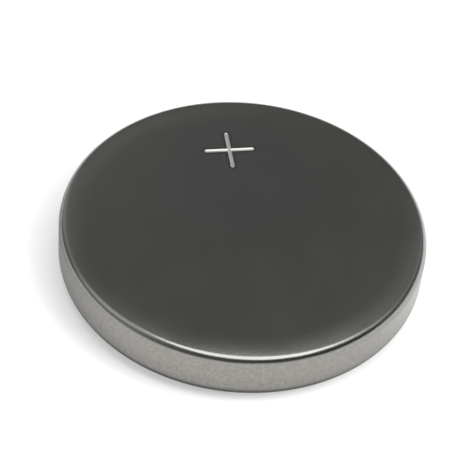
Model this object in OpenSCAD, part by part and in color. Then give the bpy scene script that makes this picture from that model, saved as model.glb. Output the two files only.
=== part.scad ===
// Lithium coin cell, 20 mm by 3.2 mm, lying on its negative cap.
// Every piece is a turned profile about Z. Z = 0 is the negative contact face,
// and the positive contact face looks up.

/* [Cell] */
// Diameter over the can
cell_d = 20; // [12:0.1:30]
// Height over both contact faces
cell_h = 3.2; // [2.9:0.1:5]

/* [Can] */
// Thickness of the can's sheet
can_t = 0.25; // [0.15:0.05:0.3]
// Width of the rim over which the positive face falls and turns into the wall
face_rim_w = 1.6; // [1.2:0.1:2.2]
// Radius of the shallow fall from the level middle of the face to the corner
face_fall_r = 10; // [6:0.5:16]
// Outside radius of the corner between face and wall
can_corner_r = 0.45; // [0.35:0.05:0.6]
// Outside radius of the crimp that turns the wall in over the gasket
crimp_r = 0.9; // [0.85:0.05:1.1]
// Width of the level lip past that bend
lip_w = 0.1; // [0.05:0.05:0.2]

/* [Cap] */
// Thickness of the cap's sheet
cap_t = 0.25; // [0.15:0.05:0.3]
// Height by which the cap stands out past the crimped lip
cap_proud = 0.12; // [0.08:0.01:0.2]
// Outside radius of the cap's shoulder
cap_shoulder_r = 0.5; // [0.3:0.05:0.55]
// Inside radius of the bend from neck to flange
cap_flange_bend_r = 0.1; // [0.05:0.01:0.15]

/* [Gasket] */
// Thickness of the gasket between can and cap
gasket_t = 0.3; // [0.2:0.05:0.35]
// Width of the gasket's ring that shows between lip and cap
seal_ring_w = 0.3; // [0.2:0.05:0.4]
// Height by which that ring stands out past the lip
seal_ring_proud = 0.04; // [0.01:0.01:0.06]
// Thickness of the gasket's foot under the edge of the skirt
gasket_foot_t = 0.45; // [0.3:0.05:0.6]
// Thickness of the leg that stands inside the skirt
gasket_leg_t = 0.4; // [0.25:0.05:0.45]
// Height of that leg above the foot
gasket_leg_h = 0.8; // [0.4:0.05:1]

/* [Anode] */
// Thickness of the lithium disc
lithium_t = 0.65; // [0.4:0.05:0.9]
// Gap round the lithium disc, inside the cap
lithium_gap = 0.65; // [0.3:0.05:1]

/* [Separator] */
// Thickness of the separator's felt
separator_t = 0.15; // [0.1:0.01:0.2]
// Gap between the separator's rim and the collector ring
separator_gap = 0.3; // [0.1:0.05:0.4]

/* [Cathode] */
// Margin of level plate round the collector ring
collector_margin = 0.2; // [0.1:0.05:0.6]
// Thickness of the collector ring's sheet
collector_t = 0.2; // [0.1:0.05:0.25]
// Height of the collector ring
collector_h = 1.1; // [0.6:0.05:1.1]
// Width of the ring's flange under the pellet
collector_flange_w = 1.2; // [0.6:0.1:2]

/* [Hidden] */
$fn = 128;

cell_r = cell_d / 2;

// Centres of the can's two bends, and of the shallow fall of its face.
face_flat_r = cell_r - face_rim_w;
corner_x = cell_r - can_corner_r;
fall_slope = asin((corner_x - face_flat_r) / (face_fall_r - can_corner_r));
fall_z = cell_h - face_fall_r;
corner_z = fall_z + (face_fall_r - can_corner_r) * cos(fall_slope);
fall_end_x = face_flat_r + face_fall_r * sin(fall_slope);
crimp_x = cell_r - crimp_r;
crimp_z = cap_proud + crimp_r;
mouth_r = crimp_x - lip_w;

// Levels on the inside of the can.
plate_z = cell_h - can_t;
skirt_end_z = plate_z - gasket_foot_t;

// The cap's skirt and flange follow the can's wall and lip, one gasket away.
seal_inset = can_t + gasket_t;
skirt_r = cell_r - seal_inset;
skirt_bend_r = crimp_r - seal_inset;
flange_z = cap_proud + seal_inset;
neck_r = mouth_r - seal_ring_w;
shoulder_x = neck_r - cap_shoulder_r;
leg_r = skirt_r - cap_t - gasket_leg_t;

// The stack between the two plates, from the cap upwards.
lithium_r = neck_r - cap_t - lithium_gap;
lithium_z = cap_t;
separator_z = lithium_z + lithium_t;
pellet_r = face_flat_r - collector_margin - collector_t;
pellet_z = separator_z + separator_t;
collector_z = plate_z - collector_h;

// A rectangle of the section, from one corner to the other.
module field(x0, z0, x1, z1) {
    translate([x0, z0]) square([x1 - x0, z1 - z0]);
}

// A disc of the section.
module disc(x, z, r) {
    translate([x, z]) circle(r);
}

// Half section of everything inside the can's skin, drawn in by an inset.
module can_form(inset) {
    // Level middle of the face, and the fall beside it.
    field(0, crimp_z, face_flat_r, cell_h - inset);
    intersection() {
        disc(face_flat_r, fall_z, face_fall_r - inset);
        field(face_flat_r, crimp_z, fall_end_x - inset * sin(fall_slope), cell_h);
    }
    // Corner, wall and crimp.
    disc(corner_x, corner_z, can_corner_r - inset);
    field(0, crimp_z, cell_r - inset, corner_z);
    disc(crimp_x, crimp_z, crimp_r - inset);
    field(0, cap_proud + inset, crimp_x, crimp_z);
}

// Half section of everything inside the cap's skin, drawn in by an inset.
module cap_form(inset) {
    // Contact face, shoulder and neck.
    field(0, inset, shoulder_x, skirt_end_z);
    disc(shoulder_x, cap_shoulder_r, cap_shoulder_r - inset);
    field(0, cap_shoulder_r, neck_r - inset, skirt_end_z);
    // Hollow bend from neck to flange.
    difference() {
        field(0, flange_z - cap_flange_bend_r, neck_r + cap_flange_bend_r, skirt_end_z);
        disc(neck_r + cap_flange_bend_r, flange_z - cap_flange_bend_r,
             cap_flange_bend_r + inset);
    }
    // Flange, bend and skirt.
    field(0, flange_z + inset, crimp_x, skirt_end_z);
    disc(crimp_x, crimp_z, skirt_bend_r - inset);
    field(0, crimp_z, skirt_r - inset, skirt_end_z);
}

// Drawn steel cup: the positive terminal. Its rim is crimped in over the gasket.
module positive_can() {
    color([0.43, 0.425, 0.41]) rotate_extrude() difference() {
        can_form(0);
        can_form(can_t);
        field(0, 0, mouth_r, crimp_z);
    }
}

// Stepped steel cap: the negative terminal. Its skirt is held by the gasket.
module negative_cap() {
    color([0.62, 0.61, 0.59]) rotate_extrude() difference() {
        cap_form(0);
        cap_form(cap_t);
    }
}

// Moulded polypropylene ring: insulates the cap from the can and seals between them.
module gasket() {
    color([0.24, 0.24, 0.25]) rotate_extrude() {
        // Outer leg, pressed over the flange by the lip, and its ring in the mouth.
        difference() {
            union() {
                intersection() {
                    can_form(can_t);
                    field(neck_r, 0, cell_r, skirt_end_z);
                }
                field(neck_r, cap_proud - seal_ring_proud, mouth_r, flange_z);
            }
            cap_form(0);
        }
        // Foot on the can's plate.
        intersection() {
            can_form(can_t);
            field(leg_r, skirt_end_z, cell_r, cell_h);
        }
        // Leg inside the skirt.
        field(leg_r, skirt_end_z - gasket_leg_h, skirt_r - cap_t, skirt_end_z);
    }
}

// Steel ring of L section, pressed on the pellet: carries its current to the can.
module collector_ring() {
    color([0.6, 0.6, 0.6]) rotate_extrude() {
        field(pellet_r, collector_z, pellet_r + collector_t, plate_z);
        field(pellet_r - collector_flange_w, plate_z - collector_t, pellet_r, plate_z);
    }
}

// Pressed pellet of manganese dioxide and graphite, rebated round the ring's flange.
module cathode_pellet() {
    color([0.06, 0.06, 0.06]) rotate_extrude() {
        field(0, pellet_z, pellet_r, plate_z - collector_t);
        field(0, pellet_z, pellet_r - collector_flange_w, plate_z);
    }
}

// Felt of polypropylene, wet with electrolyte, turned over the pellet's edge.
module separator() {
    rim_r = pellet_r + separator_t;
    color([0.93, 0.93, 0.9]) rotate_extrude() {
        field(0, separator_z, pellet_r, pellet_z);
        intersection() {
            disc(pellet_r, pellet_z, separator_t);
            field(pellet_r, separator_z, rim_r, pellet_z);
        }
        field(pellet_r, pellet_z, rim_r, collector_z - separator_gap);
    }
}

// Punched lithium disc, pressed on the inside of the cap.
module lithium_disc() {
    color([0.75, 0.75, 0.77])
        translate([0, 0, lithium_z]) cylinder(h = lithium_t, r = lithium_r);
}

positive_can();
gasket();
negative_cap();
collector_ring();
cathode_pellet();
separator();
lithium_disc();
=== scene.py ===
import math

import bpy
import numpy as np
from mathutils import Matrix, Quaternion, Vector


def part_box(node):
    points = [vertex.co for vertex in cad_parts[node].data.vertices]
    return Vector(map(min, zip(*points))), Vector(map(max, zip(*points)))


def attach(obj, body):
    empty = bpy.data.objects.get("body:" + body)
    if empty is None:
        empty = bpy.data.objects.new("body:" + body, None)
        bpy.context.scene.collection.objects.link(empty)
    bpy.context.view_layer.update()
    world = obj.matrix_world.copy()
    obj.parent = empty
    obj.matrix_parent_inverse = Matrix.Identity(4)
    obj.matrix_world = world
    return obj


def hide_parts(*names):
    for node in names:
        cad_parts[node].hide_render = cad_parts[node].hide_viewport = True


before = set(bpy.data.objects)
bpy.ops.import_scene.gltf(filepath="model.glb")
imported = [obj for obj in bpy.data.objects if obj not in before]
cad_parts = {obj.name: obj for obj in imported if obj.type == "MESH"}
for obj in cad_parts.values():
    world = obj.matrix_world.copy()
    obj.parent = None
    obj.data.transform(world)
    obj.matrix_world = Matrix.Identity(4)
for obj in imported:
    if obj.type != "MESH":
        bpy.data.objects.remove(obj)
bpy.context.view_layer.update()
mm = 0.001
print("frame loaded:", ", ".join(sorted(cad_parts)))


# Camera.

cameraSettings = {
    "azimuth": -12.9,        # degrees round the cell from -Y, so that the plus sign leans as in the photo
    "elevation": 45.5,       # degrees above the table
    "roll": 6.15,            # degrees: the right side hangs lower
    "distance": 100.0,       # mm from the aim
    "aimRight": -0.295,      # mm from the cell's foot to the middle of the picture
    "aimUp": 1.294,
    "lens": 137.1,           # mm, on the sensor below
    "sensor": 36.0,
    "clip": (0.001, 20.0),   # metres
}


def directionFrom(azimuth, elevation):
    # unit vector from the cell to a viewer: azimuth turns from -Y, elevation is above the table
    a, e = math.radians(azimuth), math.radians(elevation)
    return Vector((math.sin(a) * math.cos(e), -math.cos(a) * math.cos(e), math.sin(e)))


def fromCamera(around, up):
    # the same, but turned from the camera's own side, with its right positive
    return directionFrom(cameraSettings["azimuth"] + around, up)


def makeCamera(s):
    # looks at the aim from its azimuth and elevation, then rolls about its own line of sight
    data = bpy.data.cameras.new("photoCamera")
    data.sensor_width = s["sensor"]
    data.lens = s["lens"]
    data.clip_start, data.clip_end = s["clip"]
    camera = bpy.data.objects.new("photoCamera", data)
    bpy.context.scene.collection.objects.link(camera)
    back = directionFrom(s["azimuth"], s["elevation"])
    right = Vector((0, 0, 1)).cross(back).normalized()
    up = back.cross(right)
    aim = (right * s["aimRight"] + up * s["aimUp"]) * mm
    level = (-back).to_track_quat("-Z", "Y")
    camera.rotation_mode = "QUATERNION"
    camera.rotation_quaternion = level @ Quaternion((0, 0, 1), math.radians(s["roll"]))
    camera.location = aim + back * s["distance"] * mm
    bpy.context.scene.camera = camera


makeCamera(cameraSettings)
bpy.context.scene.view_settings.view_transform = "Standard"
print("camera set")


# Curves, meshes and node groups that several pieces use.

def bell(distance, width):
    # bell curve: 1 at no distance, about a third at one width and nearly 0 at two
    return np.exp(-(distance / width) ** 2)


def ramp(values, start, end):
    # 0 up to start, 1 from end on, and a straight line between
    return np.clip((values - start) / (end - start), 0, 1)


def angleTo(directions, middle):
    # degrees between each unit vector and the middle one, from the arc cosine of their product
    return np.degrees(np.arccos(np.clip(directions @ np.array(middle), -1, 1)))


def gridFaces(rows, columns, wrap):
    # four corners of every cell of a grid of points, row by row; wrap joins the last column to the first
    across = columns if wrap else columns - 1
    i, j = np.meshgrid(np.arange(rows - 1), np.arange(across), indexing="ij")
    k = (j + 1) % columns
    quads = np.stack([i * columns + j, i * columns + k, (i + 1) * columns + k, (i + 1) * columns + j], -1)
    return quads.reshape(-1, 4)


def meshObject(name, points, *faces, smooth=True):
    # points in metres; each of faces is an array of quads or of triangles, by the points' numbers
    mesh = bpy.data.meshes.new(name)
    mesh.from_pydata(points.tolist(), [], sum((part.tolist() for part in faces), []))
    mesh.polygons.foreach_set("use_smooth", np.full(len(mesh.polygons), smooth))
    mesh.update()
    piece = bpy.data.objects.new(name, mesh)
    bpy.context.scene.collection.objects.link(piece)
    return piece


def storeValues(piece, name, values):
    # one number for each point, which the piece's material reads by this name
    values = np.ravel(values).astype(np.float32)
    piece.data.attributes.new(name, "FLOAT", "POINT").data.foreach_set("value", values)


def pieceValue(tree, name):
    # the number stored on the piece's own points
    value = tree.nodes.new("ShaderNodeAttribute")
    value.attribute_name = name
    return value.outputs["Fac"]


def seenDirectly(tree):
    # 1 for rays from the camera, from a glossy surface or through a clear one, and 0 for the rest
    path = tree.nodes.new("ShaderNodeLightPath")
    total = path.outputs["Is Camera Ray"]
    for name in ("Is Glossy Ray", "Is Transmission Ray"):
        add = tree.nodes.new("ShaderNodeMath")
        add.operation = "ADD"
        add.use_clamp = True
        tree.links.new(total, add.inputs[0])
        tree.links.new(path.outputs[name], add.inputs[1])
        total = add.outputs[0]
    return total


# World.

worldSettings = {
    "white": 1.0,       # seen by the camera and in reflections
    "skyLight": 0.72,   # falls on matt surfaces
}


def makeWorld(s):
    # white wherever it is seen, and dimmer as the light that falls on matt surfaces
    world = bpy.data.worlds.new("studio")
    world.use_nodes = True
    tree = world.node_tree
    background = tree.nodes["Background"]
    background.inputs["Color"].default_value = (1, 1, 1, 1)
    level = tree.nodes.new("ShaderNodeMapRange")
    level.inputs["To Min"].default_value = s["skyLight"]
    level.inputs["To Max"].default_value = s["white"]
    tree.links.new(seenDirectly(tree), level.inputs["Value"])
    tree.links.new(level.outputs["Result"], background.inputs["Strength"])
    bpy.context.scene.world = world


makeWorld(worldSettings)


# Lamps.

softboxSettings = {
    "around": 85,        # degrees round from the camera
    "up": 84,            # degrees: overhead, so that the front corner mirrors it
    "distance": 250.0,   # mm
    "size": 205.0,
    "power": 0.208,
    "mirrored": True,
}

keySettings = {
    "around": 75,
    "up": 45,
    "distance": 600.0,
    "size": 420.0,
    "power": 2.4,
    "mirrored": False,   # a wide light for matt surfaces alone
}


def makeLamp(name, s):
    # a round light that faces the cell
    place = fromCamera(s["around"], s["up"]) * s["distance"]
    data = bpy.data.lights.new(name, "AREA")
    data.shape = "DISK"
    data.size = s["size"] * mm
    data.energy = s["power"]
    lamp = bpy.data.objects.new(name, data)
    lamp.location = place * mm
    lamp.rotation_mode = "QUATERNION"
    lamp.rotation_quaternion = place.to_track_quat("Z", "Y")
    lamp.visible_glossy = s["mirrored"]
    bpy.context.scene.collection.objects.link(lamp)


makeLamp("softbox", softboxSettings)
makeLamp("key", keySettings)
print("world and lamps set")


# Tent: a dome of dark card which only polished surfaces mirror.

stageTurn = np.radians(np.arange(0, 360, 2.0))    # points of tent, floor and veil go round Z in these steps

tentSettings = {
    "radius": 420.0,       # mm
    "rows": 80,
    "reach": (0.3, 89.9),  # degrees up, of the first row and the last
    "low": 17,             # degrees up: white below, but for a flap that hangs down to the floor
    "soft": 2,             # degrees over which that edge turns from white to dark
    "flapRound": -135,     # degrees round from the camera, at the back left
    "flapWidth": 34,
    "base": 0.080,         # brightness without the lobes
    "least": 0.02,         # and the least with them
    "lobes": (             # degrees round from the camera; degrees up; width; strength
        (-169, 37, 7, 0.105),
        (160, 54, 7, 0.12),
        (180, 37, 12, 0.05),
        (180, 45, 6, -0.020),
        (-140, 66, 8, 0.20),
        (-149, 42, 6, 0.30),
        (-138, 28, 14, 0.34),
        (-135, 4, 12, 0.38),
        (-98, 57, 16, 0.68),
        (-72, 32, 32, 0.17),
        (10, 42, 32, -0.012),
        (78, 30, 20, -0.075),
        (112, 58, 14, 0.60),
        (147, 39, 7, 0.44),
    ),
}


def mirroredOnly(piece):
    # polished surfaces see the piece; the camera, matt surfaces and shadows don't
    piece.visible_camera = False
    piece.visible_diffuse = False
    piece.visible_shadow = False


def singleShader(name, kind, socket, mark):
    # a material of one shader, of which one socket reads the numbers stored on the piece
    material = bpy.data.materials.new(name)
    material.use_nodes = True
    tree = material.node_tree
    tree.nodes.clear()
    out = tree.nodes.new("ShaderNodeOutputMaterial")
    shader = tree.nodes.new(kind)
    tree.links.new(pieceValue(tree, mark), shader.inputs[socket])
    tree.links.new(shader.outputs[0], out.inputs["Surface"])
    return material


def tentShade(direction, s):
    # a base shade and soft lobes, each a bell curve of the angle from its own direction;
    # white below the tent's edge, which sinks to the floor in a bell curve round the flap
    shade = np.full(direction.shape[:-1], s["base"])
    for around, up, width, strength in s["lobes"]:
        shade = shade + strength * bell(angleTo(direction, fromCamera(around, up)), width)
    level = direction[..., :2] / np.linalg.norm(direction[..., :2], axis=-1, keepdims=True)
    off = angleTo(level, fromCamera(s["flapRound"], 0)[:2])
    edge = s["low"] * (1 - bell(off, s["flapWidth"]))
    inside = ramp(np.degrees(np.arcsin(direction[..., 2])), edge, edge + s["soft"])
    return 1 + (np.maximum(shade, s["least"]) - 1) * inside


def makeTent(s):
    # x = cos up cos round, y = cos up sin round and z = sin up, times the radius
    up = np.radians(np.linspace(*s["reach"], s["rows"]))[:, None]
    direction = np.stack(np.broadcast_arrays(
        np.cos(up) * np.cos(stageTurn), np.cos(up) * np.sin(stageTurn), np.sin(up)), -1)
    points = direction.reshape(-1, 3) * s["radius"] * mm
    tent = meshObject("tent", points, gridFaces(s["rows"], len(stageTurn), True))
    storeValues(tent, "shade", tentShade(direction, s))
    paper = singleShader("tentPaper", "ShaderNodeEmission", "Strength", "shade")
    paper.cycles.emission_sampling = "NONE"    # found by the mirrored rays alone, which is less grainy
    tent.data.materials.append(paper)
    mirroredOnly(tent)


makeTent(tentSettings)


# Floor.

floorSettings = {
    "hole": 8.3,                    # mm, just past the cap's level face, which so gets light from below
    "radius": 3000.0,
    "rings": 24,
    "height": -0.005,               # mm, just clear of the cap
    "colour": (0.69, 0.69, 0.69),
    "roughness": 0.9,
    "glow": (0.33, 0.53),           # what direct looks see added near the cell and further out
    "glowReach": (120.0, 420.0),    # mm from the axis, for those two
}


def levelSheet(name, radius, height):
    # rings of points, x = radius cos round and y = radius sin round, at one height in mm; it faces up
    points = np.stack(np.broadcast_arrays(radius * np.cos(stageTurn), radius * np.sin(stageTurn), height), -1)
    faces = gridFaces(len(radius), len(stageTurn), True)[:, ::-1]
    return meshObject(name, points.reshape(-1, 3) * mm, faces, smooth=False)


def makeFloorPaper(s):
    # matt paper with a glow for direct looks, and clear from below, so that the underside can be looked at
    paper = bpy.data.materials.new("floorPaper")
    paper.use_nodes = True
    tree = paper.node_tree
    bsdf = tree.nodes["Principled BSDF"]
    bsdf.inputs["Base Color"].default_value = (*s["colour"], 1)
    bsdf.inputs["Roughness"].default_value = s["roughness"]
    bsdf.inputs["Specular IOR Level"].default_value = 0.0
    bsdf.inputs["Emission Color"].default_value = (1, 1, 1, 1)
    strength = tree.nodes.new("ShaderNodeMath")
    strength.operation = "MULTIPLY"
    tree.links.new(seenDirectly(tree), strength.inputs[0])
    tree.links.new(pieceValue(tree, "glow"), strength.inputs[1])
    tree.links.new(strength.outputs[0], bsdf.inputs["Emission Strength"])
    side = tree.nodes.new("ShaderNodeNewGeometry")
    clear = tree.nodes.new("ShaderNodeBsdfTransparent")
    pick = tree.nodes.new("ShaderNodeMixShader")
    tree.links.new(side.outputs["Backfacing"], pick.inputs["Fac"])
    tree.links.new(bsdf.outputs["BSDF"], pick.inputs[1])
    tree.links.new(clear.outputs["BSDF"], pick.inputs[2])
    tree.links.new(pick.outputs["Shader"], tree.nodes["Material Output"].inputs["Surface"])
    paper.cycles.emission_sampling = "NONE"
    return paper


def makeFloor(s):
    radius = np.geomspace(s["hole"], s["radius"], s["rings"])[:, None]
    floor = levelSheet("floor", radius, s["height"])
    storeValues(floor, "glow", np.interp(radius, s["glowReach"], s["glow"]).repeat(len(stageTurn)))
    floor.data.materials.append(makeFloorPaper(s))


makeFloor(floorSettings)


# Veil: a ring of painted shade close above the floor, which only polished surfaces see, and which darkens
# what the left wall mirrors.

veilSettings = {
    "around": -106,                # degrees round from the camera
    "width": 42,                   # degrees to each side over which it thins out
    "depth": 0.52,                 # share of the floor's brightness that it takes
    "reach": (8.8, 40.0, 160.0),   # mm: starts under the crimp, full to the second, gone at the third
    "rings": 20,
    "height": 0.005,               # mm
}


def makeVeil(s):
    # takes its depth times a bell curve of the angle round, and a straight fade over the radius
    radius = np.linspace(s["reach"][0], s["reach"][-1], s["rings"])[:, None]
    veil = levelSheet("veil", radius, s["height"])
    level = np.stack([np.cos(stageTurn), np.sin(stageTurn)], -1)
    off = angleTo(level, fromCamera(s["around"], 0)[:2])
    fade = np.interp(radius, s["reach"], (1, 1, 0))
    storeValues(veil, "left", 1 - s["depth"] * bell(off, s["width"]) * fade)
    veil.data.materials.append(singleShader("veilMirroredShade", "ShaderNodeBsdfTransparent", "Color", "left"))
    mirroredOnly(veil)


makeVeil(veilSettings)
print("tent, floor and veil made")


# Finishes. Patterns lie on Object coordinates, in metres.

noiseMiddle = (0.3, 0.7)    # most of a noise's values lie between these


def startMaterial(name, s):
    # a Principled material with the finish's own colour and gloss, ready for its patterns
    material = bpy.data.materials.new(name)
    material.use_nodes = True
    bsdf = material.node_tree.nodes["Principled BSDF"]
    bsdf.inputs["Base Color"].default_value = (*s["colour"], 1)
    bsdf.inputs["Roughness"].default_value = s["roughness"][0]
    bsdf.inputs["Metallic"].default_value = s["metallic"]
    return material, material.node_tree, bsdf


def patternNoise(tree, size, stretch=(1, 1, 1), detail=4.0):
    # noise whose grains are about size mm across, longer by stretch along X, Y and Z
    place = tree.nodes.new("ShaderNodeTexCoord")
    mapping = tree.nodes.new("ShaderNodeMapping")
    mapping.inputs["Scale"].default_value = [1 / (size * mm * k) for k in stretch]
    noise = tree.nodes.new("ShaderNodeTexNoise")
    noise.inputs["Scale"].default_value = 1.0
    noise.inputs["Detail"].default_value = detail
    tree.links.new(place.outputs["Object"], mapping.inputs["Vector"])
    tree.links.new(mapping.outputs["Vector"], noise.inputs["Vector"])
    return noise.outputs["Fac"]


def spreadOf(tree, noise, low=0.0, high=1.0):
    # carries a noise's middle range to low..high
    spread = tree.nodes.new("ShaderNodeMapRange")
    spread.inputs["From Min"].default_value = noiseMiddle[0]
    spread.inputs["From Max"].default_value = noiseMiddle[1]
    spread.inputs["To Min"].default_value = low
    spread.inputs["To Max"].default_value = high
    tree.links.new(noise, spread.inputs["Value"])
    return spread.outputs["Result"]


def mixOf(tree, factor, first, second, kind="RGBA"):
    # first where factor is 0 and second where it is 1; each is a colour, a number or a node's output
    mix = tree.nodes.new("ShaderNodeMix")
    mix.data_type = kind
    tree.links.new(factor, mix.inputs["Factor"])
    for name, value in (("A", first), ("B", second)):
        if isinstance(value, tuple):
            mix.inputs[name].default_value = (*value, 1)
        elif isinstance(value, (int, float)):
            mix.inputs[name].default_value = value
        else:
            tree.links.new(value, mix.inputs[name])
    return mix.outputs["Result"]


def addBump(tree, height, depth, normal=None):
    # depth is the height of the pattern in micrometres
    bump = tree.nodes.new("ShaderNodeBump")
    bump.inputs["Strength"].default_value = 1.0
    bump.inputs["Distance"].default_value = depth * 1e-6
    tree.links.new(height, bump.inputs["Height"])
    if normal is not None:
        tree.links.new(normal, bump.inputs["Normal"])
    return bump.outputs["Normal"]


canSteelSettings = {
    "colour": (0.437, 0.435, 0.43),
    "shadow": (0.372, 0.37, 0.363),        # between the grains
    "rimColour": (0.43, 0.427, 0.395),     # the face's margin, slightly warmer
    "shadeBesideStrokeColour": (0.25, 0.25, 0.24),      # painted shade beside the plus sign's strokes
    # the wall's tones: the face's own plate painted darker as shade, with a random mottle between the two
    "wallShadedColour": (0.315, 0.307, 0.287),
    "wallShadedMottle": (0.235, 0.228, 0.21),
    # painted shade on the crimp's bend, standing in for the shadowed floor under the cell that it mirrors
    "crimpShadeColour": (0.075, 0.073, 0.069),
    "cutColour": (0.92, 0.91, 0.88),       # inside the strokes
    "glance": (1.0, 1.0, 1.0),             # glare where the plate is seen at a glancing angle
    # less glare on the crimp, which keeps its painted shade dark at a glancing angle
    "crimpShadeGlance": (0.65, 0.65, 0.65),
    "metallic": 1.0,
    "roughness": (0.21, 0.24),
    "wallRoughness": 0.28,
    "cutRoughness": 0.50,
    "cloud": 2.2,                          # mm across, where the gloss changes
    "grain": 0.07,
    "grainDepth": 2.0,                     # micrometres
    "mottle": 0.15,                        # mm across, on the wall
    "streak": 0.12,                        # mm high, and longer by the stretch
    "streakStretch": (12, 12, 1),
    "streakDetail": 3.0,
    "streakDepth": 4.0,                    # micrometres
}
canMarks = ("rim", "shadeBesideStroke", "wall", "crimp", "cut")    # numbers that makeCan stores on the can's points


def makeCanSteel(s):
    # satin nickel plate with fine grain and soft streaks; where a mark is 1 its own tone covers the plate;
    # beside the strokes, on the wall and on the crimp that tone is painted shade
    material, tree, bsdf = startMaterial("canSteel", s)
    marks = {name: pieceValue(tree, name) for name in canMarks}
    grain = patternNoise(tree, s["grain"])
    streak = patternNoise(tree, s["streak"], s["streakStretch"], s["streakDetail"])
    colour = mixOf(tree, spreadOf(tree, grain), s["colour"], s["shadow"])
    shadedWall = mixOf(tree, spreadOf(tree, patternNoise(tree, s["mottle"])), s["wallShadedColour"], s["wallShadedMottle"])
    tones = (s["rimColour"], s["shadeBesideStrokeColour"], shadedWall, s["crimpShadeColour"], s["cutColour"])
    for mark, tone in zip(canMarks, tones):
        colour = mixOf(tree, marks[mark], colour, tone)
    tree.links.new(colour, bsdf.inputs["Base Color"])
    glance = mixOf(tree, marks["crimp"], s["glance"], s["crimpShadeGlance"])
    tree.links.new(glance, bsdf.inputs["Specular Tint"])
    satin = spreadOf(tree, patternNoise(tree, s["cloud"]), *s["roughness"])
    satin = mixOf(tree, marks["wall"], satin, s["wallRoughness"], "FLOAT")
    satin = mixOf(tree, marks["cut"], satin, s["cutRoughness"], "FLOAT")
    tree.links.new(satin, bsdf.inputs["Roughness"])
    normal = addBump(tree, streak, s["streakDepth"])
    tree.links.new(addBump(tree, grain, s["grainDepth"], normal), bsdf.inputs["Normal"])
    return material


capSteelSettings = {
    "colour": (0.62, 0.61, 0.59),
    "shadow": (0.55, 0.545, 0.53),
    "metallic": 1.0,
    "roughness": (0.34, 0.46),
    "cloud": 0.4,          # mm across, where the colour changes
    "pebble": 0.16,
    "pebbleDetail": 2.0,
    "pebbleDepth": 5.0,    # micrometres
    "grain": 0.05,
    "grainDepth": 0.8,
}


def makeCapSteel(s):
    # matt nickel plate with a fine pebbled skin
    material, tree, bsdf = startMaterial("capSteel", s)
    cloud = spreadOf(tree, patternNoise(tree, s["cloud"]))
    pebble = patternNoise(tree, s["pebble"], detail=s["pebbleDetail"])
    grain = patternNoise(tree, s["grain"])
    tree.links.new(mixOf(tree, cloud, s["colour"], s["shadow"]), bsdf.inputs["Base Color"])
    tree.links.new(spreadOf(tree, pebble, *s["roughness"]), bsdf.inputs["Roughness"])
    normal = addBump(tree, pebble, s["pebbleDepth"])
    tree.links.new(addBump(tree, grain, s["grainDepth"], normal), bsdf.inputs["Normal"])
    return material


plainFinishes = {    # grain in mm across, depth in micrometres
    "gasketPlastic": {"colour": (0.24, 0.24, 0.25), "shadow": (0.20, 0.20, 0.21), "roughness": (0.42, 0.55),
                      "metallic": 0.0, "grain": 0.08, "stretch": (1, 1, 1), "depth": 1.5},
    "ringSteel": {"colour": (0.60, 0.60, 0.60), "shadow": (0.54, 0.54, 0.54), "roughness": (0.25, 0.36),
                  "metallic": 1.0, "grain": 0.07, "stretch": (6, 1, 6), "depth": 1.0},
    "pelletBlack": {"colour": (0.06, 0.06, 0.06), "shadow": (0.03, 0.03, 0.03), "roughness": (0.7, 0.9),
                    "metallic": 0.0, "grain": 0.10, "stretch": (1, 1, 1), "depth": 12.0},
    "feltWhite": {"colour": (0.93, 0.93, 0.90), "shadow": (0.84, 0.84, 0.80), "roughness": (0.85, 0.95),
                  "metallic": 0.0, "grain": 0.05, "stretch": (5, 1, 2), "depth": 15.0},
    "lithiumFoil": {"colour": (0.75, 0.75, 0.77), "shadow": (0.66, 0.66, 0.68), "roughness": (0.38, 0.5),
                    "metallic": 1.0, "grain": 0.09, "stretch": (1, 12, 1), "depth": 1.5},
}


def makePlainFinish(name, s):
    # one grain that carries the colour, the gloss and a fine relief
    material, tree, bsdf = startMaterial(name, s)
    grain = patternNoise(tree, s["grain"], s["stretch"])
    shade = spreadOf(tree, grain)
    tree.links.new(mixOf(tree, shade, s["colour"], s["shadow"]), bsdf.inputs["Base Color"])
    tree.links.new(spreadOf(tree, grain, *s["roughness"]), bsdf.inputs["Roughness"])
    tree.links.new(addBump(tree, grain, s["depth"]), bsdf.inputs["Normal"])
    return material


finishes = {name: makePlainFinish(name, s) for name, s in plainFinishes.items()}
finishes["canSteel"] = makeCanSteel(canSteelSettings)
finishes["capSteel"] = makeCapSteel(capSteelSettings)
print("finishes made:", ", ".join(sorted(finishes)))


# Sections of the turned pieces, in mm. What the frame can say is read from it.

sectionSettings = {
    "cornerR": 0.45,      # corner between face and wall, outside
    "faceRim": 1.6,       # width over which the face falls and turns
    "fallR": 10.0,        # radius of that shallow fall
    "crimpR": 0.9,        # bend of the wall into the lip, outside
    "lip": 0.1,           # level lip past the bend
    "sealRing": 0.3,      # width of gasket seen in the mouth
    "flangeBendR": 0.1,   # inside of the cap's bend from neck to flange
    "edgeR": 0.03,        # tiny radius on cut and moulded edges
}


def nodeBox(node):
    # the node's lowest and highest corners, in mm
    return np.array([list(corner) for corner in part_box(node)]) / mm


canLow, canHigh = nodeBox("positive_can")
gasketLow, gasketHigh = nodeBox("gasket")
capHigh = nodeBox("negative_cap")[1]

# the can: its level face reaches to flatR, and the X and Z of fall, corner and crimp are their middles
cellR = canHigh[0]
cellH = canHigh[2]
lipZ = canLow[2]
flatR = cellR - sectionSettings["faceRim"]
fallZ = cellH - sectionSettings["fallR"]
fallReach = sectionSettings["fallR"] - sectionSettings["cornerR"]
cornerX = cellR - sectionSettings["cornerR"]
fallSlope = math.asin((cornerX - flatR) / fallReach)
fallEnd = 90 - math.degrees(fallSlope)    # degrees on its circle, where the corner takes over
cornerZ = fallZ + fallReach * math.cos(fallSlope)
crimpX = cellR - sectionSettings["crimpR"]
crimpZ = lipZ + sectionSettings["crimpR"]
mouthR = crimpX - sectionSettings["lip"]

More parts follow.
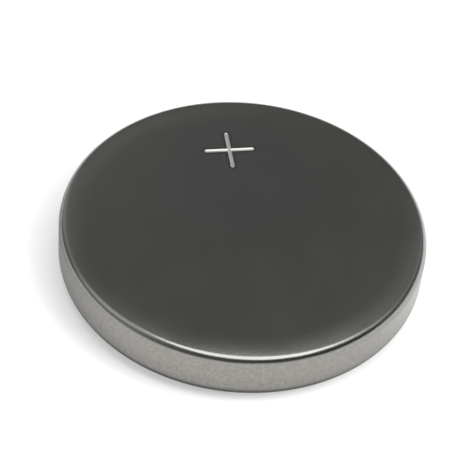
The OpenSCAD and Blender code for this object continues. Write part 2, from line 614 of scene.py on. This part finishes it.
# the cap and the gasket between them
sheet = cellR - gasketHigh[0]
sealT = gasketHigh[0] - capHigh[0]
skirtR = capHigh[0]
skirtEnd = capHigh[2]
skirtBend = sectionSettings["crimpR"] - sheet - sealT
flangeZ = lipZ + sheet + sealT
neckR = mouthR - sectionSettings["sealRing"]


def arcPoints(x, z, radius, start, end, step):
    # points of an arc about (x, z), from start to end degrees, at most step degrees apart
    count = max(2, int(math.ceil(abs(end - start) / step)) + 1)
    turn = np.radians(np.linspace(start, end, count))
    return np.stack([x + radius * np.cos(turn), z + radius * np.sin(turn)], -1)


def canBends(s, inset, steps, fallTop=90):
    # crimp, corner and fall of the can's section, drawn in by an inset, from the lip up to the face;
    # steps holds the degrees between points, one number for each arc
    return [arcPoints(crimpX, crimpZ, s["crimpR"] - inset, -90, 0, steps[0]),
            arcPoints(cornerX, cornerZ, s["cornerR"] - inset, 0, fallEnd, steps[1]),
            arcPoints(flatR, fallZ, s["fallR"] - inset, fallEnd, fallTop, steps[2])]


def capBends(s, inset, steps):
    # hollow bend from neck to flange, and bend from flange to skirt, of the cap's section
    bend = s["flangeBendR"]
    return [arcPoints(neckR + bend, flangeZ - bend, bend + inset, 180, 90, steps[0]),
            arcPoints(crimpX, crimpZ, skirtBend - inset, -90, 0, steps[1])]


def backwards(bends):
    # the same arcs, run through from the other end
    return [bend[::-1] for bend in bends[::-1]]


def sectionPath(*parts, step=0.12):
    # joins arcs and single points into one path, and cuts its long stretches into lengths of step mm at most
    path = np.vstack([np.atleast_2d(np.array(part, float)) for part in parts])
    gap = np.hypot(*np.diff(path, axis=0).T)
    apart = gap > 1e-7    # closer points are one
    path = path[np.concatenate([[True], apart])]
    cuts = np.maximum(1, np.ceil(gap[apart] / step)).astype(int)
    along = np.concatenate([i + np.arange(n) / n for i, n in enumerate(cuts)] + [[len(cuts)]])
    index = np.arange(len(path))
    return np.stack([np.interp(along, index, path[:, 0]), np.interp(along, index, path[:, 1])], -1)


def turnedPoints(section, turn):
    # each section point carried round Z: x = r cos turn, y = r sin turn, z = z
    r, z = section[:, :1], section[:, 1:]
    return np.stack(np.broadcast_arrays(r * np.cos(turn), r * np.sin(turn), z), -1)


def turnedRing(name, section, count=360):
    # a closed section turned round Z, with no poles
    turn = np.radians(np.arange(count) * 360 / count)
    points = turnedPoints(section, turn).reshape(-1, 3)
    faces = gridFaces(len(section) + 1, count, True) % len(points)
    return meshObject(name, points * mm, faces)


def fanFaces(pole, here, after):
    # triangles that close a ring to its pole; here and after are the numbers of its neighbouring points
    return np.stack([np.full(len(here), pole), here, after], -1)


def turnedShell(name, section, count=360):
    # an open section that starts and ends on the axis, closed there by fans of triangles
    turn = np.radians(np.arange(count) * 360 / count)
    body = turnedPoints(section[1:-1], turn).reshape(-1, 3)
    poles = np.array([[0, 0, section[0, 1]], [0, 0, section[-1, 1]]])
    here = np.arange(count)
    after = np.roll(here, -1)
    end = len(body) - count
    first = fanFaces(len(body), after, here)
    last = fanFaces(len(body) + 1, end + here, end + after)
    points = np.vstack([body, poles])
    return meshObject(name, points * mm, gridFaces(len(section) - 2, count, True), first, last)


def finishPiece(piece, finish, node):
    # the piece takes its finish, rides on the cell, and stands for its CAD node
    piece.data.materials.append(finishes[finish])
    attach(piece, "root")
    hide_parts(node)


# Can, with the plus sign cut into its face.

plusSettings = {
    "y": 5.57,          # mm from the middle of the face to the sign's crossing
    "half": 1.45,       # from the crossing to a stroke's round end
    "width": 0.29,      # of a stroke at the surface
    "depth": 0.05,
    "shadeBesideStroke": 0.10,       # width of the painted shade, a darker margin, beside a stroke
    "margin": 0.45,     # level plate round the sign that belongs to its fine grid
    "fine": 0.014,      # spacing of that grid across a stroke, and elsewhere
    "coarse": 0.11,
    "samples": 4001,    # places at which that spacing is worked out
}


def gradedLine(centre, s):
    # places along one side of the grid, close together at the strokes and wide apart between them: equal
    # steps of the running total of a density, which is high in a flat-topped bell curve round each stroke
    edge = s["half"] + s["margin"]
    x = np.linspace(-edge, edge, s["samples"])
    near = np.zeros_like(x)
    for spot in (-s["half"] + s["width"] / 2, 0, s["half"] - s["width"] / 2):
        near = np.maximum(near, np.exp(-((x - spot) / (s["width"] / 2 + s["shadeBesideStroke"])) ** 4))
    density = 1 / s["coarse"] + (1 / s["fine"] - 1 / s["coarse"]) * near
    total = np.concatenate([[0], np.cumsum((density[1:] + density[:-1]) / 2 * np.diff(x))])
    count = int(round(total[-1])) + 1
    return centre + np.interp(np.linspace(0, total[-1], count), total, x)


def strokeDistance(x, y, alongX, s):
    # distance from a stroke's middle line, which stops half a width short of its round ends
    reach = s["half"] - s["width"] / 2
    u, v = (x, y - s["y"]) if alongX else (y - s["y"], x)
    return np.hypot(np.maximum(np.abs(u) - reach, 0), v)


def strokeShape(x, y, s):
    # a smooth trough, half a cosine wave across each stroke, the deeper of the two where they cross,
    # and a bell curve for the painted shade in the margin just outside it
    near = np.minimum(strokeDistance(x, y, True, s), strokeDistance(x, y, False, s)) - s["width"] / 2
    trough = 0.5 + 0.5 * np.cos(np.pi * np.clip(1 + near / (s["width"] / 2), 0, 1))
    return trough, bell(near, s["shadeBesideStroke"])


def ringDirections(rows, columns, s):
    # directions of the rings' points, one for each point of the grid's edge: lines from the sign's middle
    # through the grid's corners go on to the edge of the level face, with even steps between those four
    side = s["half"] + s["margin"]
    corners = np.array([[-side, -side], [side, -side], [side, side], [-side, side]])
    lean = corners[:, 1] * s["y"]
    square = 2 * side ** 2    # of a corner's distance from the sign's middle
    reach = (-lean + np.sqrt(lean ** 2 + square * (flatR ** 2 - s["y"] ** 2))) / square
    hit = corners * reach[:, None] + [0, s["y"]]
    turn = np.unwrap(np.arctan2(hit[:, 1], hit[:, 0]))
    marks = np.cumsum([0, columns - 1, rows - 1, columns - 1, rows - 1])
    return np.interp(np.arange(marks[-1]), marks, np.append(turn, turn[0] + 2 * np.pi))


def canSection(s):
    # outside from the edge of the level face down to the cut edge of the lip, and back inside to the axis
    e = s["edgeR"]
    outside = sectionPath(
        (flatR, cellH),
        *backwards(canBends(s, 0, steps=(3, 2.5, 0.6))),
        arcPoints(mouthR + e, lipZ + e, e, -90, -180, step=30),
        arcPoints(mouthR + e, lipZ + sheet - e, e, 180, 90, step=30),
    )
    inside = sectionPath(
        (crimpX, lipZ + sheet),
        *canBends(s, sheet, steps=(6, 10, 2)),
        (0, cellH - sheet),
        step=0.8,
    )
    return np.vstack([outside, inside[:-1]])


toneSettings = {
    "cutDepth": 1 / 3,            # share of the trough's depth at which the cut's tone is full
    "rimFrom": (7.4, 9.0),        # mm from the axis, over which the margin's tone comes
    "rimTo": (9.35, 9.55),        # and over which it weakens
    "rimLoss": 0.6,
    "wallFrom": (-0.35, -0.15),   # mm below the corner's middle (so above it), where the wall's tone comes: the same plate painted darker as shade, and rougher
    "crimpDim": (-0.9, 0.4),      # mm below the crimp's middle, over which a quarter of its painted shade comes
    "crimpDark": (-0.02, 0.28),   # and the rest
    "crimpShare": 0.25,
    "crimpTo": (0.66, 0.84),      # and over which the lip turns back to the wall's tone, where the painted shade ends
}


def canTones(points, trough, shadeBesideStroke, s):
    # how much of each mark's tone a point has: ramps over its distance from the axis or its height
    radius = np.hypot(points[:, 0], points[:, 1])
    depth = crimpZ - points[:, 2]
    face = len(points) - trough.size
    # the crimp's painted shade: a faint ramp and then a dark one
    crimp = s["crimpShare"] * ramp(depth, *s["crimpDim"])
    crimp = crimp + (1 - s["crimpShare"]) * ramp(depth, *s["crimpDark"])
    return {
        "cut": np.pad(ramp(trough.ravel(), 0, s["cutDepth"]), (0, face)),
        # painted shade in the margin beside the strokes
        "shadeBesideStroke": np.pad(shadeBesideStroke.ravel(), (0, face)),
        "rim": ramp(radius, *s["rimFrom"]) * (1 - s["rimLoss"] * ramp(radius, *s["rimTo"])),
        "wall": ramp(cornerZ - points[:, 2], *s["wallFrom"]),
        "crimp": crimp * (1 - ramp(depth, *s["crimpTo"])),
    }


def makeCan(s, plus, tones):
    # one closed surface: the sign's grid, a collar of quads, rings of the turned section and a fan inside
    x, y = np.meshgrid(gradedLine(0, plus), gradedLine(plus["y"], plus))
    trough, shadeBesideStroke = strokeShape(x, y, plus)
    grid = np.stack([x, y, cellH - plus["depth"] * trough], -1).reshape(-1, 3)
    turn = ringDirections(*x.shape, plus)
    section = canSection(s)
    rings = turnedPoints(section, turn).reshape(-1, 3)
    points = np.vstack([grid, rings, [[0, 0, cellH - sheet]]])

    index = np.arange(x.size).reshape(x.shape)
    edge = np.concatenate([index[0, :-1], index[:-1, -1], index[-1, :0:-1], index[:0:-1, 0]])
    here = x.size + np.arange(len(turn))
    after = np.roll(here, -1)
    end = (len(section) - 1) * len(turn)
    collar = np.stack([edge, here, after, np.roll(edge, -1)], -1)
    skin = gridFaces(len(section), len(turn), True)[:, ::-1] + x.size
    fan = fanFaces(len(points) - 1, end + after, end + here)
    can = meshObject("canShell", points * mm, gridFaces(*x.shape, False), collar, skin, fan)
    for name, values in canTones(points, trough, shadeBesideStroke, tones).items():
        storeValues(can, name, values)
    finishPiece(can, "canSteel", "positive_can")


makeCan(sectionSettings, plusSettings, toneSettings)
print("can made")


# Gasket.

gasketSettings = {
    "leg": 0.4,          # leg inside the skirt
    "legHeight": 0.8,
}


def makeGasket(s, own):
    # closed section: the ring in the mouth, the outer leg in the can's bends, the foot, the inner leg
    # and back along the cap's bends
    e = s["edgeR"]
    ringZ = gasketLow[2]
    legOut = skirtR - sheet
    legIn = legOut - own["leg"]
    legZ = skirtEnd - own["legHeight"]
    fallTop = 90 - math.degrees(math.asin((legIn - flatR) / (s["fallR"] - sheet)))
    section = sectionPath(
        arcPoints(neckR + e, ringZ + e, e, 180, 270, step=30),
        arcPoints(mouthR - e, ringZ + e, e, 270, 360, step=30),
        (mouthR, lipZ + sheet),
        *canBends(s, sheet, steps=(4, 8, 1), fallTop=fallTop),
        (legIn, legZ),
        (legOut, legZ),
        (legOut, skirtEnd),
        (skirtR, skirtEnd),
        *backwards(capBends(s, 0, steps=(10, 6))),
    )
    finishPiece(turnedRing("gasketRing", section), "gasketPlastic", "gasket")


makeGasket(sectionSettings, gasketSettings)
print("gasket made")


# Cap.

capSettings = {
    "shoulderR": 0.5,    # shoulder, outside
    "middle": 1.0,       # mm from the axis to the first ring round each pole
}


def makeCap(s, own):
    # outside from the axis to the skirt's end, over its rounded edge and back inside to the axis
    e = s["edgeR"]
    shoulder = own["shoulderR"]
    section = sectionPath(
        (0, 0),
        (own["middle"], 0),
        arcPoints(neckR - shoulder, shoulder, shoulder, -90, 0, step=3),
        *capBends(s, 0, steps=(10, 6)),
        arcPoints(skirtR - e, skirtEnd - e, e, 0, 90, step=30),
        arcPoints(skirtR - sheet + e, skirtEnd - e, e, 90, 180, step=30),
        *backwards(capBends(s, sheet, steps=(6, 10))),
        arcPoints(neckR - shoulder, shoulder, shoulder - sheet, 0, -90, step=6),
        (own["middle"], sheet),
        (0, sheet),
        step=0.25,
    )
    finishPiece(turnedShell("capShell", section), "capSteel", "negative_cap")


makeCap(sectionSettings, capSettings)
print("cap made")


# Pieces inside the sealed can keep their own solids and take a finish.

innerFinishes = {
    "collector_ring": "ringSteel",
    "cathode_pellet": "pelletBlack",
    "separator": "feltWhite",
    "lithium_disc": "lithiumFoil",
}
for node, finish in innerFinishes.items():
    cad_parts[node].data.materials.clear()
    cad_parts[node].data.materials.append(finishes[finish])
print("inner pieces finished")
